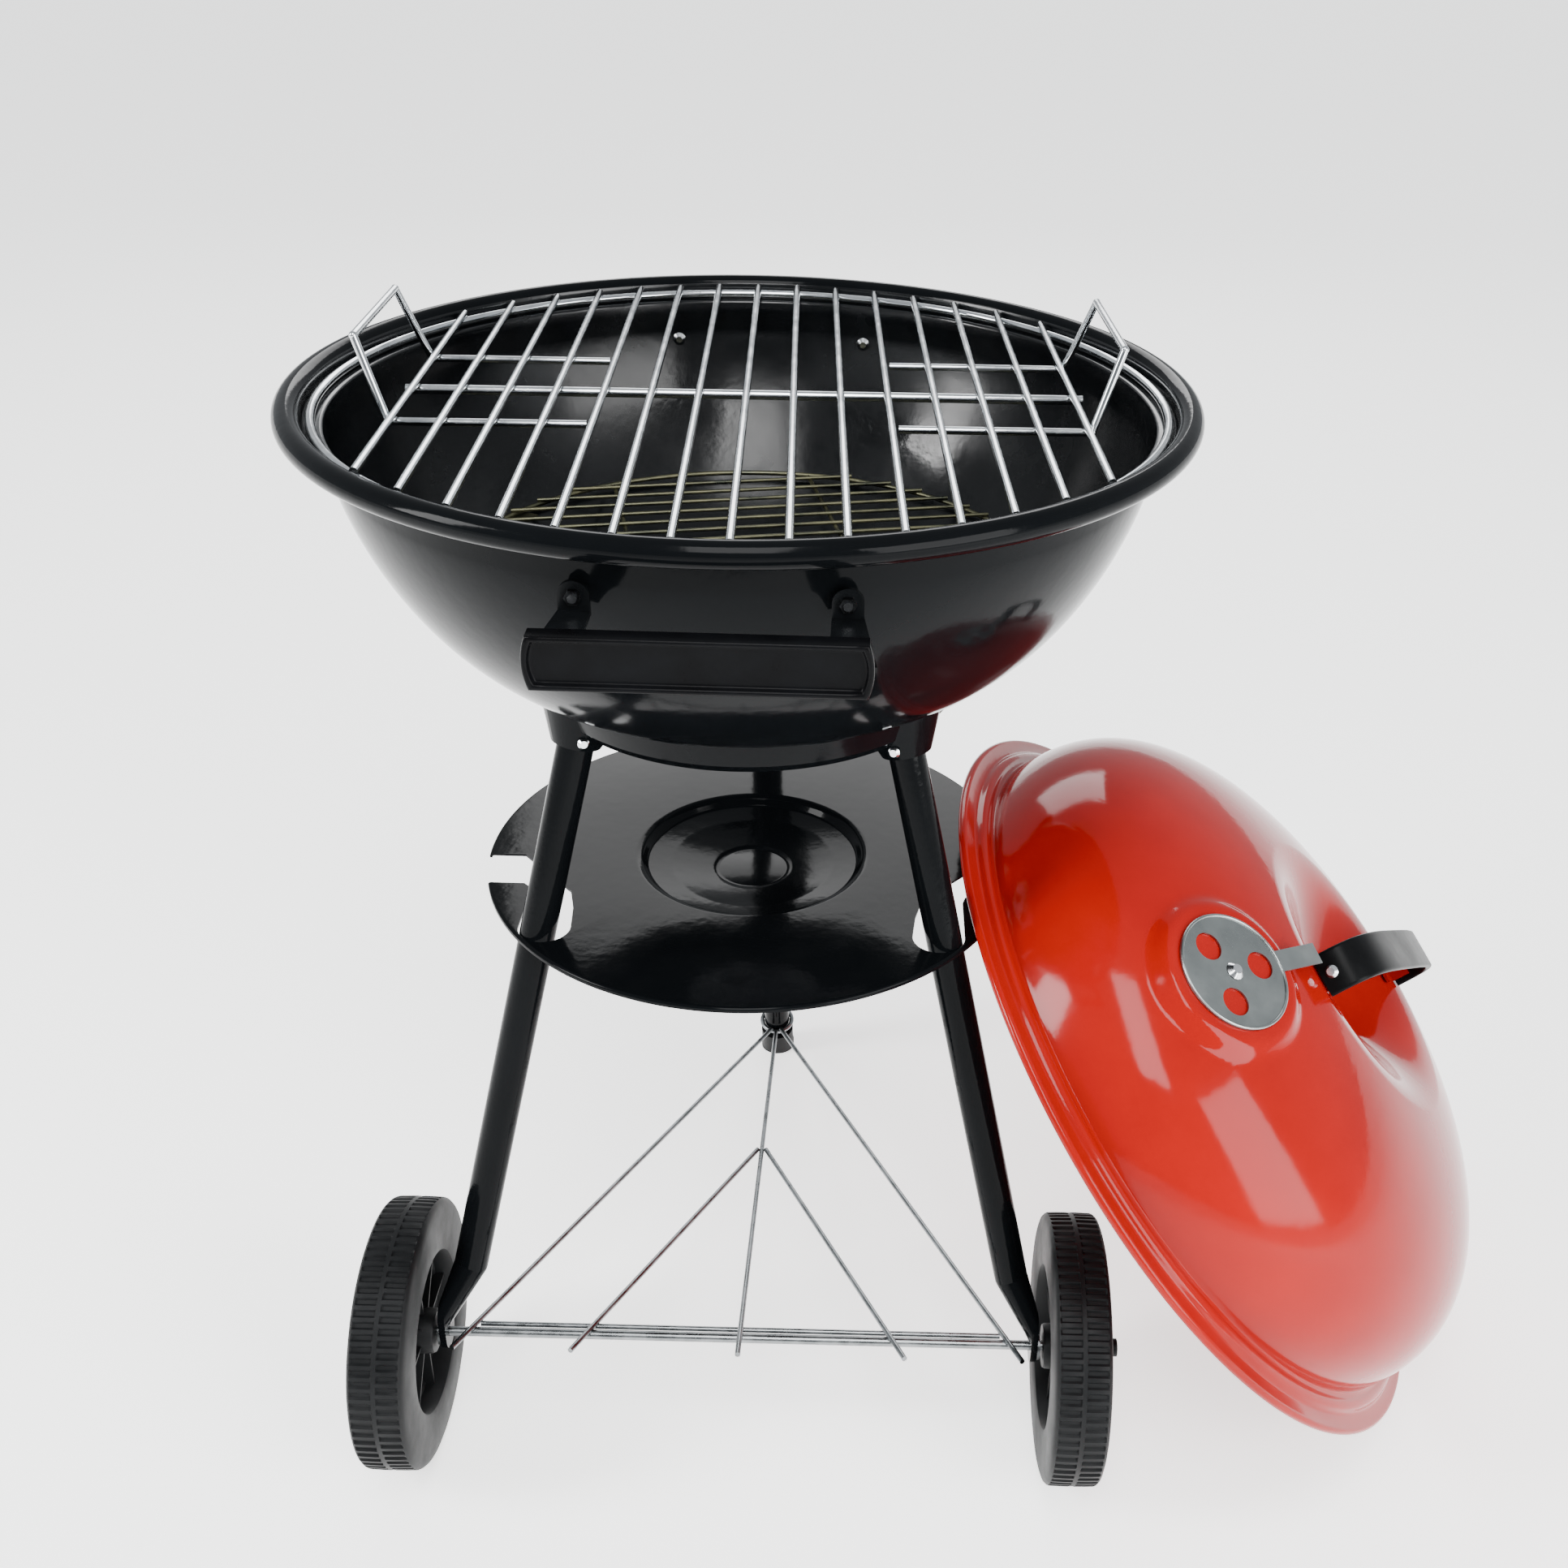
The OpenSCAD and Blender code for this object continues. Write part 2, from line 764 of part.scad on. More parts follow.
// A one-piece moulded wheel: ribbed tread, smooth sidewall, dished web with spokes, hub.
module wheel(side) {
    inside = track_inside / 2;
    half = wheel_w / 2;
    hub_r = 14;
    well_r = wheel_r - 34;
    translate([side * (inside + half), axle_y, wheel_r])
        rotate([0, 90, 0])
            difference() {
                union() {
                    rotate_extrude($fn = fine)
                        polygon([[well_r, -half], [wheel_r - 5, -half], [wheel_r - 1, -half + 3],
                            [wheel_r, -2], [wheel_r - 1, 0], [wheel_r, 2], [wheel_r - 1, half - 3],
                            [wheel_r - 5, half], [well_r, half], [well_r - 3, 3], [well_r - 3, -3]]);
                    cylinder(r = well_r, h = 5, center = true, $fn = fine);
                    cylinder(r = hub_r, h = wheel_w - 1, center = true, $fn = fine);
                    for (i = [0 : 7])
                        rotate([0, 0, 45 * i])
                            translate([hub_r - 2, -1.5, -half + 7])
                                cube([well_r - hub_r + 2, 3, wheel_w - 14]);
                }
                cylinder(r = axle_d / 2 + 0.08, h = 2 * wheel_w, center = true, $fn = round_fn);
            }
}

module left_wheel() {
    color("#1b1d1f")
    at_stand()
        wheel(-1);
}

module right_wheel() {
    color("#1b1d1f")
    at_stand()
        wheel(1);
}

// A front slot: in from the rim at the side, then forward to a round pocket about the leg.
module leg_slot(side) {
    pocket = leg_at(right_angle, pan_z);
    x = pocket[0] - 3;
    y = pocket[1] + 2;
    outer = x + slot_r;
    translate([side * x, y])
        circle(r = slot_r, $fn = fine);
    polygon([[side * (x - slot_r), y], [side * slot_knee[0], slot_knee[1]],
        [side * slot_shoulder_x, slot_top_y], [side * 2 * pan_r, slot_top_y],
        [side * 2 * pan_r, slot_low_y], [side * (outer + slot_lip[0]), slot_low_y],
        [side * outer, slot_low_y + slot_lip[1]], [side * outer, y]]);
}

module ash_pan() {
    color("#1a1c1e")
    at_stand()
        translate([0, 0, pan_z])
            difference() {
                rotate_extrude($fn = fine)
                    polygon([[0, -dish_depth], [22, -dish_depth], [26, -dish_depth + 1.5],
                        [dish_r - 20, -dish_depth + 6], [dish_r - 4, -dish_step], [dish_r, 0],
                        [pan_r, 0], [pan_r, -pan_lip], [pan_r - sheet, -pan_lip],
                        [pan_r - sheet, -sheet], [dish_r + 1, -sheet], [dish_r - 3, -dish_step - sheet],
                        [dish_r - 20, -dish_depth + 6 - sheet], [26, -dish_depth + 1.5 - sheet],
                        [22, -dish_depth - sheet], [0, -dish_depth - sheet]]);
                translate([0, 0, -2 * pan_lip])
                    linear_extrude(3 * pan_lip)
                        union() {
                            leg_slot(-1);
                            leg_slot(1);
                            translate([0, notch_in])
                                circle(r = notch_half, $fn = fine);
                            translate([-notch_half, notch_in])
                                square([2 * notch_half, pan_r]);
                        }
            }
}

module lid_shell() {
    color("#b3231c")
    difference() {
        union() {
            at_lid()
                rotate_extrude($fn = fine)
                    polygon(concat(
                        lid_line(lid_side_r, lid_height),
                        [[lid_side_r + 1, 8], [lid_side_r + 9, 6.5], [lid_side_r + 11, 2.5],
                         [lid_r - 4, 2], [lid_r - 4, 2 - sheet], [lid_side_r + 10, 2.5 - sheet],
                         [lid_side_r + 8, 6.5 - sheet], [lid_side_r, 8 - sheet]],
                        flip(lid_line(lid_side_r - sheet, lid_height - sheet))));
            at_lid()
                wire_ring(lid_r - lid_bead_r, 2 * lid_bead_r, 0);
            at_damper()
                translate([0, 0, boss_rise - boss_h])
                    cylinder(r1 = boss_r + boss_skirt, r2 = boss_r, h = boss_h, $fn = fine);
        }
        at_damper()
            translate([0, 0, -30 - sheet])
                cylinder(r = boss_r - 4, h = 30 + boss_rise, $fn = fine);
        at_damper()
            for (i = [0 : vent_count - 1])
                rotate([0, 0, 360 / vent_count * i])
                    translate([damper_hole_at, 0, -20])
                        cylinder(r = damper_hole_r, h = 40, $fn = round_fn);
        at_damper()
            translate([0, 0, -20])
                cylinder(r = rivet_r, h = 40, $fn = round_fn);
        at_lid()
            rotate_extrude($fn = fine)
                polygon(concat([[0, -20]], [[0, lid_h(0, lid_side_r, lid_height) - sheet - 8]],
                    [for (p = lid_line(lid_side_r - 8, lid_height - 9)) p], [[lid_side_r - 8, -20]]));
    }
}

module lid_vent_plate() {
    low = boss_rise + gap;
    color("#9a9da0")
    at_damper()
        difference() {
            union() {
                translate([0, 0, low])
                    cylinder(r = damper_r, h = damper_t, $fn = fine);
                translate([0, 0, low + damper_t])
                    rotate_extrude($fn = fine)
                        translate([damper_r - 1, 0])
                            circle(r = 1, $fn = round_fn);
                translate([-tab_reach, -tab_w / 2, low])
                    cube([tab_reach - damper_r + 4, tab_w, damper_t]);
            }
            translate([0, 0, low - 1])
                cylinder(r = rivet_r, h = 6, $fn = round_fn);
            for (i = [0 : vent_count - 1])
                rotate([0, 0, 360 / vent_count * (i + 0.5)])
                    translate([damper_hole_at, 0, low - 1])
                        cylinder(r = damper_hole_r, h = 6, $fn = round_fn);
        }
}

module lid_vent_rivet() {
    color("#cfd1d3")
    at_damper() {
        translate([0, 0, -3])
            cylinder(r = rivet_r - 0.05, h = 8, $fn = round_fn);
        translate([0, 0, boss_rise + damper_t + 2 * gap])
            cylinder(r1 = 5.5, r2 = 3, h = 2.5, $fn = round_fn);
    }
}

// Half the outline of the arched handle, from the side: a rounded box shape.
function arch(i, n, half, rise) =
    let (a = 180 * i / n, c = cos(a), s = sin(a))
    [half * sign(c) * pow(abs(c), 0.55), rise * pow(s, 0.55)];

module lid_handle() {
    steps = 32;
    inner = lid_handle_half - lid_handle_t;
    low = lid_ridge_h + 1;
    color("#151618")
    at_lid()
        rotate([0, 0, lid_handle_angle])
            difference() {
                translate([0, lid_handle_w / 2, low])
                    rotate([90, 0, 0])
                        linear_extrude(lid_handle_w)
                            polygon(concat(
                                [for (i = [0 : steps]) arch(i, steps, lid_handle_half, lid_handle_rise)],
                                [for (i = [steps : -1 : 0])
                                    arch(i, steps, inner, lid_handle_rise - lid_handle_t)]));
                for (side = [-1, 1])
                    translate([side * lid_handle_half, 0, lid_ridge_h + 8])
                        rotate([0, 90, 0])
                            cylinder(r = 2.1, h = 20, center = true, $fn = round_fn);
            }
}

// Two angle brackets welded on the ridge, inside the ends of the handle.
module lid_handle_brackets() {
    low = lid_ridge_h - 1.5;
    outer = lid_handle_half - lid_handle_t - 1.2;
    color("#8a1c16")
    at_lid()
        for (turn = [0, 180])
            rotate([0, 0, lid_handle_angle + turn])
                difference() {
                    union() {
                        translate([outer - 2, -9, low])
                            cube([2, 18, 14]);
                        translate([outer - 12, -9, low])
                            cube([12, 18, 2]);
                    }
                    translate([outer, 0, lid_ridge_h + 8])
                        rotate([0, 90, 0])
                            cylinder(r = 2.1, h = 20, center = true, $fn = round_fn);
                }
}

module lid_handle_screws() {
    color("#d5d7d9")
    at_lid()
        rotate([0, 0, lid_handle_angle])
            for (turn = [0, 180])
                rotate([0, 0, turn])
                    translate([lid_handle_half - 10, 0, lid_ridge_h + 8])
                        rotate([0, 90, 0]) {
                            cylinder(r = 2, h = 10.2, $fn = round_fn);
                            translate([0, 0, 10.1])
                                cylinder(r1 = 4, r2 = 2.4, h = 2, $fn = round_fn);
                        }
}

bowl();
grate_supports();
vent_rivet();
bottom_vent_plate();
cooking_grate_ring();
cooking_grate_bars();
cooking_grate_cross_wire();
cooking_grate_handles();
charcoal_grate_ring();
charcoal_grate_bars();
charcoal_grate_cross_wires();
front_handle_brackets();
front_handle_grip();
rear_handle_brackets();
rear_handle_grip();
handle_screws();
handle_nuts();
leg_ring();
ring_screws();
left_leg();
right_leg();
rear_leg();
foot_cap();
shelf_left_wire();
shelf_right_wire();
shelf_centre_wire();
shelf_left_brace();
shelf_right_brace();
shelf_base_wire();
shelf_leg_loop();
axle();
axle_caps();
wheel_washers();
left_wheel();
right_wheel();
ash_pan();
lid_shell();
lid_handle();
lid_handle_brackets();
lid_handle_screws();
lid_vent_plate();
lid_vent_rivet();
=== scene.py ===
# A kettle charcoal grill with its red lid off and leaning at its right, built as it is put
# together: bowl, grates, side handles, tripod, shelf, wheels, ash pan, and last the lid.
import math

import bmesh
import bpy
from mathutils import Matrix, Vector


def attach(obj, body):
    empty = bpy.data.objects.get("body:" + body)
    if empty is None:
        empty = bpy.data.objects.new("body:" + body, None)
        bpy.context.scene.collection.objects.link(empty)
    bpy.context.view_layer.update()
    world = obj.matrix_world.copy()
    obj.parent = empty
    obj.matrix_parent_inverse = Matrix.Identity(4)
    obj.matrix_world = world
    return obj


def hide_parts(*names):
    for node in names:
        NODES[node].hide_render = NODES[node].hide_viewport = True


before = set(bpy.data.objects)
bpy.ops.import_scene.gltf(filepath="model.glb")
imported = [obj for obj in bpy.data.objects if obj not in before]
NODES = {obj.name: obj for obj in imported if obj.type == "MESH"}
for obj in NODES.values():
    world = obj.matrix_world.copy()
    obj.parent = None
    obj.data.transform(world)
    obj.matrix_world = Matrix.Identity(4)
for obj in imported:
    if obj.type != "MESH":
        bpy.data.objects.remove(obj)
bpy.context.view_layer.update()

# ---- Room: a pale floor and a pale surrounding, softboxes and the camera ----
# The floor is matt white card that glows a little, so that it reads white right to its edges.
# Four softboxes stand for a strip overhead and for windows at the left, the right and behind,
# and give the long streaks that gloss enamel picks up.


def hue(code):
    """An sRGB hex colour as the linear RGBA that shaders want."""
    parts = [int(code[i:i + 2], 16) / 255 for i in (1, 3, 5)]
    return [c / 12.92 if c <= 0.04045 else ((c + 0.055) / 1.055) ** 2.4 for c in parts] + [1.0]


def add(tree, kind, settings=None, inputs=None):
    """One shader node, with its settings and its inputs, which are values or links."""
    node = tree.nodes.new(kind)
    for name, value in (settings or {}).items():
        setattr(node, name, value)
    for name, value in (inputs or {}).items():
        if isinstance(value, bpy.types.NodeSocket):
            tree.links.new(value, node.inputs[name])
        else:
            node.inputs[name].default_value = value
    return node


def finish_of(name, colour, metallic, roughness, specular=0.5):
    """A new material: its node tree, its surface shader and a place to start patterns from."""
    material = bpy.data.materials.new(name)
    material.use_nodes = True
    tree = material.node_tree
    tree.nodes.clear()
    surface = add(tree, "ShaderNodeBsdfPrincipled", None, {
        "Base Color": hue(colour), "Metallic": metallic, "Roughness": roughness,
        "IOR": 1.5, "Specular IOR Level": specular})
    add(tree, "ShaderNodeOutputMaterial", None, {"Surface": surface.outputs["BSDF"]})
    place = add(tree, "ShaderNodeTexCoord").outputs["Object"]
    return material, tree, surface, place


def new_object(name, data):
    """An object that carries a mesh, a light or a camera, linked into the scene."""
    piece = bpy.data.objects.new(name, data)
    bpy.context.scene.collection.objects.link(piece)
    return piece


CARD = "#F9F9F8"
CARD_GLOW = 1.6
card, tree, surface, place = finish_of("white card floor", CARD, 0.0, 0.8, 0.2)
surface.inputs["Emission Color"].default_value = hue(CARD)
surface.inputs["Emission Strength"].default_value = CARD_GLOW
grain = add(tree, "ShaderNodeTexNoise", None, {"Vector": place, "Scale": 900.0, "Detail": 2.0})
bump = add(tree, "ShaderNodeBump", None, {
    "Height": grain.outputs["Fac"], "Strength": 0.1, "Distance": 0.0002})
tree.links.new(bump.outputs["Normal"], surface.inputs["Normal"])

FLOOR_HALF = 40.0
sheet = bpy.data.meshes.new("floor")
sheet.from_pydata([(-FLOOR_HALF, -FLOOR_HALF, 0), (FLOOR_HALF, -FLOOR_HALF, 0),
                   (FLOOR_HALF, FLOOR_HALF, 0), (-FLOOR_HALF, FLOOR_HALF, 0)],
                  [], [(0, 1, 2, 3)])
floor = new_object("floor", sheet)
floor.data.materials.append(card)

# The surrounding is pale all round but for a dim bay in front, which keeps gloss black dark.
world = bpy.data.worlds.new("studio")
world.use_nodes = True
tree = world.node_tree
ray = add(tree, "ShaderNodeTexCoord").outputs["Generated"]
parts = add(tree, "ShaderNodeSeparateXYZ", None, {"Vector": ray})
bay = add(tree, "ShaderNodeMapRange", None, {
    "Value": parts.outputs["Y"], "From Min": -0.8, "From Max": 0.0, "To Min": 0.4, "To Max": 0.75})
sky = tree.nodes["Background"]
sky.inputs["Color"].default_value = hue("#F2F6FA")
tree.links.new(bay.outputs["Result"], sky.inputs["Strength"])
bpy.context.scene.world = world


def softbox(name, at, aim, size, power):
    """A white area light at a place, turned to its aim, with its size in metres."""
    light = bpy.data.lights.new(name, "AREA")
    light.shape = "RECTANGLE"
    light.size, light.size_y = size
    light.energy = power
    lamp = new_object(name, light)
    lamp.location = at
    lamp.rotation_euler = (Vector(aim) - Vector(at)).to_track_quat("-Z", "Y").to_euler()


softbox("overhead strip", (-0.1, -1.3, 2.3), (-0.12, 0.1, 0.55), (0.7, 1.5), 50)
softbox("left window", (-2.3, -0.75, 1.6), (-0.1, 0, 0.5), (0.7, 1.3), 80)
softbox("key window", (1.9, -1.75, 1.25), (0.15, 0, 0.35), (1.7, 1.9), 115)
softbox("back window", (-0.2, 2.7, 1.9), (-0.1, 0, 0.4), (1.6, 0.9), 28)

# The camera stands close in front at 0.9 m and looks down by about 31 degrees.
camera = bpy.data.cameras.new("camera")
camera.sensor_width = 36.0
camera.lens = 38.36
camera.shift_x = -0.0604
camera.shift_y = 0.0257
camera.clip_end = 200.0
RIGHT = Vector((0.999584, 0.006886, 0.028011))
UP = Vector((-0.027578, 0.512696, 0.858127))
BACK = RIGHT.cross(UP)
EYE = Vector((-0.0539, -0.8775, 0.8917))
viewer = new_object("camera", camera)
viewer.matrix_world = Matrix((
    (RIGHT.x, UP.x, BACK.x, EYE.x),
    (RIGHT.y, UP.y, BACK.y, EYE.y),
    (RIGHT.z, UP.z, BACK.z, EYE.z),
    (0, 0, 0, 1)))
bpy.context.scene.camera = viewer

# ---- Bowl ----
# Deep-drawn steel sheet with a rolled rim, dipped and fired in black porcelain enamel. The
# enamel is glass: near-mirror gloss with a faint orange-peel ripple.
MM = 0.001
BOWL_X = -122.5 * MM
RIM_Z = 640
WALL_DROP = 30
WALL_R = 216.6
BOWL_DEPTH = 140
SHEET = 1.5
BEAD_R = 6.5
BEAD_AT = (233.5, 633.5)
BOWL_VENTS_AT = 26
BOWL_VENT_R = 11
RIVET_HOLE_R = 3


def black_enamel(name, ripple_mm, dust, specular=0.05):
    """Black gloss over a faint ripple, with a thin film of dust that dulls it in patches."""
    material, tree, surface, place = finish_of(name, "#060708", 0.0, 0.1, specular)
    ripple = add(tree, "ShaderNodeTexNoise", None, {
        "Vector": place, "Scale": 1000 / ripple_mm, "Detail": 2.0, "Roughness": 0.45})
    bump = add(tree, "ShaderNodeBump", None, {
        "Height": ripple.outputs["Fac"], "Strength": 0.35, "Distance": 0.0002})
    tree.links.new(bump.outputs["Normal"], surface.inputs["Normal"])
    film = add(tree, "ShaderNodeTexNoise", None, {
        "Vector": place, "Scale": 14.0, "Detail": 6.0, "Roughness": 0.6})
    gloss = add(tree, "ShaderNodeMapRange", None, {
        "Value": film.outputs["Fac"], "From Min": 0.3, "From Max": 0.75,
        "To Min": 0.07, "To Max": 0.07 + dust})
    tree.links.new(gloss.outputs["Result"], surface.inputs["Roughness"])
    tint = add(tree, "ShaderNodeValToRGB", None, {"Fac": film.outputs["Fac"]})
    tint.color_ramp.elements[0].color = hue("#050607")
    tint.color_ramp.elements[1].color = hue("#0B0D0F")
    tree.links.new(tint.outputs["Color"], surface.inputs["Base Color"])
    return material


bowl_enamel = black_enamel("black porcelain enamel", 7.0, 0.1)


def turned(name, outline, steps, material, place=Matrix.Identity(4), sharp=40):
    """A spun part: a closed outline of (radius, height) in mm turned about its own Z axis."""
    build = bmesh.new()
    rings = []
    for radius, height in outline:
        if radius < 1e-6:
            rings.append([build.verts.new((0, 0, height * MM))] * steps)
            continue
        rings.append([build.verts.new((radius * MM * math.cos(2 * math.pi * i / steps),
                                       radius * MM * math.sin(2 * math.pi * i / steps),
                                       height * MM)) for i in range(steps)])
    for k, low in enumerate(rings):
        high = rings[(k + 1) % len(rings)]
        if low[0] is low[1] and high[0] is high[1]:
            continue
        for i in range(steps):
            j = (i + 1) % steps
            corners = []
            for corner in (low[i], low[j], high[j], high[i]):
                if corner not in corners:
                    corners.append(corner)
            build.faces.new(corners)
    bmesh.ops.recalc_face_normals(build, faces=build.faces)
    mesh = bpy.data.meshes.new(name)
    build.to_mesh(mesh)
    build.free()
    mesh.shade_smooth()
    mesh.set_sharp_from_angle(angle=math.radians(sharp))
    piece = new_object(name, mesh)
    piece.matrix_world = place
    piece.data.materials.append(material)
    return piece


def settle(piece):
    """Puts a piece's place into its mesh, so that the piece's box is tight."""
    piece.data.transform(piece.matrix_world)
    piece.matrix_world = Matrix.Identity(4)


def soften(points, radius, steps=5):
    """An open outline with each corner rounded off, as a press tool rounds sheet metal."""
    out = [points[0]]
    for before, here, after in zip(points, points[1:], points[2:]):
        here_v, a, b = Vector(here), Vector(before), Vector(after)
        reach = min(radius, (a - here_v).length * 0.45, (b - here_v).length * 0.45)
        start = here_v + (a - here_v).normalized() * reach
        end = here_v + (b - here_v).normalized() * reach
        for i in range(steps + 1):
            t = i / steps
            out.append(tuple(start * (1 - t) ** 2 + here_v * 2 * t * (1 - t) + end * t ** 2))
    out.append(points[-1])
    return out


def cut_with(piece, cutter):
    """Takes a cutter mesh, given in the piece's own frame, out of the piece."""
    tool = new_object("cutter", cutter)
    tool.matrix_world = piece.matrix_world
    cut = piece.modifiers.new("cut", "BOOLEAN")
    cut.operation = "DIFFERENCE"
    cut.solver = "EXACT"
    cut.object = tool
    bpy.context.view_layer.update()
    done = bpy.data.meshes.new_from_object(
        piece.evaluated_get(bpy.context.evaluated_depsgraph_get()))
    piece.modifiers.clear()
    piece.data = done
    done.set_sharp_from_angle(angle=math.radians(40))
    bpy.data.objects.remove(tool)


def bored(piece, holes):
    """Drills round holes, each (centre, direction, radius, length) in mm, through a piece."""
    build = bmesh.new()
    for centre, direction, radius, length in holes:
        turn = Vector((0, 0, 1)).rotation_difference(Vector(direction)).to_matrix().to_4x4()
        bmesh.ops.create_cone(
            build, cap_ends=True, segments=64, radius1=radius * MM, radius2=radius * MM,
            depth=length * MM, matrix=Matrix.Translation(Vector(centre) * MM) @ turn)
    drill = bpy.data.meshes.new("drill")
    build.to_mesh(drill)
    build.free()
    cut_with(piece, drill)


def bowl_z(radius, side, depth):
    """The height of a wall of the bowl at a radius: flat in the middle, steep at its side."""
    return RIM_Z - WALL_DROP - depth * max(0.0, 1 - (radius / side) ** 3.5) ** 0.75


def bowl_wall(side, depth, steps=90):
    """One face of the bowl's wall as (radius, height), from its middle out to its top."""
    radii = [side * math.sin(math.pi / 2 * i / steps) for i in range(steps + 1)]
    return [(r, bowl_z(r, side, depth)) for r in radii]


outside = bowl_wall(WALL_R, BOWL_DEPTH)
inside = bowl_wall(WALL_R - SHEET, BOWL_DEPTH - SHEET)
ledge = soften([outside[-1], (217.6, 624), (224.5, 626.4), (228.6, 628), (228.6, 633)], 2.5)
bead = [(BEAD_AT[0] + BEAD_R * math.cos(math.radians(a)),
         BEAD_AT[1] + BEAD_R * math.sin(math.radians(a))) for a in range(-140, 181, 8)]
step = soften([(227.0, 632.5), (226.2, 628), (216.1, 628), (215.2, 622), inside[-1]], 2.0)
bowl = turned("bowl_shell", outside[:-1] + ledge + bead + step + inside[-2::-1], 360,
              bowl_enamel, Matrix.Translation((BOWL_X, 0, 0)))
floor_z = bowl_z(0, WALL_R, BOWL_DEPTH)
vents = [((BOWL_VENTS_AT * math.cos(2 * math.pi * k / 3),
           BOWL_VENTS_AT * math.sin(2 * math.pi * k / 3), floor_z), (0, 0, 1), BOWL_VENT_R, 12)
         for k in range(3)]
bored(bowl, vents + [((0, 0, floor_z), (0, 0, 1), RIVET_HOLE_R, 12)])
# Inside, the enamel is duller and its ripple finer, so it shows broad soft lights.
inner_enamel = black_enamel("inner porcelain enamel", 5.0, 0.3, 0.3)
bowl.data.materials.append(inner_enamel)
for face in bowl.data.polygons:
    inward = Vector((-face.center.x, -face.center.y, 0.02))
    if face.normal.dot(inward) > 0 and face.center.z < (RIM_Z - 4) * MM:
        face.material_index = 1
settle(bowl)
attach(bowl, "stand")
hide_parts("bowl")

# ---- Charcoal grate, its supports and the lower vent ----
# Plain drawn steel wire, spot-welded. Heat has tinted it straw and brown in patches, and ash has
# dulled it. It lies on three tabs welded inside the bowl.


def dress(material, *names):
    """Gives CAD nodes their material."""
    for name in names:
        NODES[name].data.materials.clear()
        NODES[name].data.materials.append(material)


def steel(name, colours, roughness, patch_mm, streak=None):
    """Bare or plated steel whose colour and dullness wander over patches of a given size."""
    material, tree, surface, place = finish_of(name, colours[0], 1.0, roughness)
    patch = add(tree, "ShaderNodeTexNoise", None, {
        "Vector": place, "Scale": 1000 / patch_mm, "Detail": 5.0, "Roughness": 0.6})
    ramp = add(tree, "ShaderNodeValToRGB", None, {"Fac": patch.outputs["Fac"]})
    ramp.color_ramp.elements[0].position = 0.3
    ramp.color_ramp.elements[1].position = 0.7
    ramp.color_ramp.elements[0].color = hue(colours[0])
    ramp.color_ramp.elements[1].color = hue(colours[1])
    tree.links.new(ramp.outputs["Color"], surface.inputs["Base Color"])
    dull = add(tree, "ShaderNodeMapRange", None, {
        "Value": patch.outputs["Fac"], "From Min": 0.3, "From Max": 0.7,
        "To Min": roughness * 0.7, "To Max": roughness * 1.4})
    tree.links.new(dull.outputs["Result"], surface.inputs["Roughness"])
    if streak:
        stretch = add(tree, "ShaderNodeMapping", None, {"Vector": place, "Scale": streak})
        line = add(tree, "ShaderNodeTexNoise", None, {
            "Vector": stretch.outputs["Vector"], "Scale": 1.0, "Detail": 3.0})
        bump = add(tree, "ShaderNodeBump", None, {
            "Height": line.outputs["Fac"], "Strength": 0.25, "Distance": 0.0001})
        tree.links.new(bump.outputs["Normal"], surface.inputs["Normal"])
    return material


coal_wire = steel("heat-tinted steel wire", ("#45483F", "#75735A"), 0.38, 22)
dress(coal_wire, "charcoal_grate_ring", "charcoal_grate_bars", "charcoal_grate_cross_wires",
      "grate_supports")
# The vent is pale rolled sheet, with a fine grain along the way it was rolled.
vent_steel = steel("rolled steel sheet", ("#9EA1A3", "#B9BBBD"), 0.3, 30, (60, 900, 900))
dress(vent_steel, "bottom_vent_plate")
# Fasteners are bright zinc: nearly white, with small sharp glints.
plated = steel("bright zinc-plated fasteners", ("#CDD0D3", "#E9EAEC"), 0.16, 6)
dress(plated, "vent_rivet")

# ---- Cooking grate ----
# Bright chromed wire: fifteen bars welded on a ring, a cross wire under them, and a bent lifting
# handle at each side. Chrome gives hard white glints along each wire.
chrome = steel("chromed wire", ("#B4B8BB", "#DADDDF"), 0.14, 18)
dress(chrome, "cooking_grate_ring", "cooking_grate_bars", "cooking_grate_cross_wire",
      "cooking_grate_handles")

# ---- Side handles ----
# Steel straps painted black, bolted through the wall, and a tray-shaped grip moulded in black
# heat-resistant plastic with a raised rim all round.


def moulded(name, colours, roughness, grain_mm, depth_mm, specular=0.12):
    """Plastic or thick paint: a fine grain, and scuffs that shift its tone and its shine."""
    material, tree, surface, place = finish_of(name, colours[0], 0.0, roughness, specular)
    grain = add(tree, "ShaderNodeTexNoise", None, {
        "Vector": place, "Scale": 1000 / grain_mm, "Detail": 4.0, "Roughness": 0.7})
    bump = add(tree, "ShaderNodeBump", None, {
        "Height": grain.outputs["Fac"], "Strength": 0.5, "Distance": depth_mm * MM})
    tree.links.new(bump.outputs["Normal"], surface.inputs["Normal"])
    scuff = add(tree, "ShaderNodeTexNoise", None, {
        "Vector": place, "Scale": 30.0, "Detail": 6.0, "Roughness": 0.65})
    tone = add(tree, "ShaderNodeValToRGB", None, {"Fac": scuff.outputs["Fac"]})
    tone.color_ramp.elements[0].position = 0.35
    tone.color_ramp.elements[1].position = 0.7
    tone.color_ramp.elements[0].color = hue(colours[0])
    tone.color_ramp.elements[1].color = hue(colours[1])
    tree.links.new(tone.outputs["Color"], surface.inputs["Base Color"])
    shine = add(tree, "ShaderNodeMapRange", None, {
        "Value": scuff.outputs["Fac"], "From Min": 0.3, "From Max": 0.7,
        "To Min": roughness * 0.85, "To Max": roughness * 1.2})
    tree.links.new(shine.outputs["Result"], surface.inputs["Roughness"])
    return material


